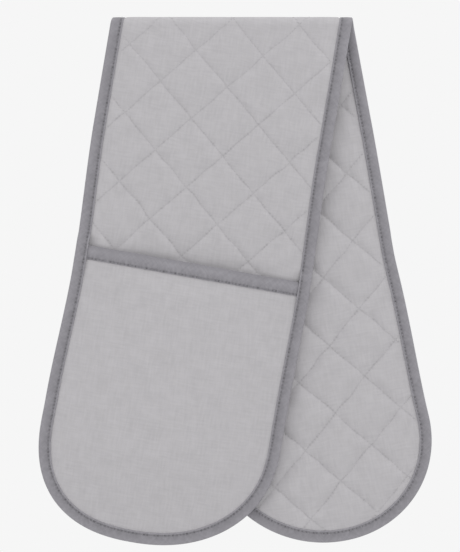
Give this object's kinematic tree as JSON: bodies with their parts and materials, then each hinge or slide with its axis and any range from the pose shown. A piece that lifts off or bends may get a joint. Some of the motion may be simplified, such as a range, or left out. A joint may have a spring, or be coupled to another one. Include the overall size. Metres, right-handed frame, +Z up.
{
  "type": "double oven glove",
  "caption": "Quilted strip folded over a rail, with a padded mitt pocket on the outside at each end and a bias binding round its edge.",
  "frame": {"origin": "middle of the rail's axis, inside the fold", "axes": "+X along the rail to the picture's right, +Y away from the camera towards the back half, +Z up"},
  "size_m": [0.3144, 0.0326, 0.4223],
  "materials": {
    "cloth": "matte",
    "lining": "matte",
    "wadding": "matte",
    "binding": "matte",
    "thread": "matte"
  },
  "bodies": {
    "saddle": {"saddle_outer_cloth": "cloth", "saddle_inner_cloth": "cloth", "saddle_wadding": "wadding", "saddle_binding_left": "binding", "saddle_needle_thread_left": "thread", "saddle_bobbin_thread_left": "thread", "saddle_binding_right": "binding", "saddle_needle_thread_right": "thread", "saddle_bobbin_thread_right": "thread"},
    "front": {"front_outer_cloth": "cloth", "front_wadding": "wadding", "front_inner_cloth": "cloth", "front_pocket_cloth": "cloth", "front_pocket_wadding": "wadding", "front_pocket_lining": "lining", "front_edge_binding": "binding", "front_mouth_binding": "binding", "front_edge_needle_thread": "thread", "front_edge_bobbin_thread": "thread", "front_mouth_thread": "thread"},
    "back": {"back_outer_cloth": "cloth", "back_wadding": "wadding", "back_inner_cloth": "cloth", "back_pocket_cloth": "cloth", "back_pocket_wadding": "wadding", "back_pocket_lining": "lining", "back_edge_binding": "binding", "back_mouth_binding": "binding", "back_edge_needle_thread": "thread", "back_edge_bobbin_thread": "thread", "back_mouth_thread": "thread"}
  },
  "joints": [
    {"name": "front_fold", "type": "hinge", "parent": "saddle", "child": "front", "pos_m": [0, -0.00608, 0.00608], "axis": [-1, 0, 0], "range_deg": [0, 90]},
    {"name": "back_fold", "type": "hinge", "parent": "saddle", "child": "back", "pos_m": [0, 0.00608, 0.00608], "axis": [1, 0, 0], "range_deg": [0, 90]}
  ]
}
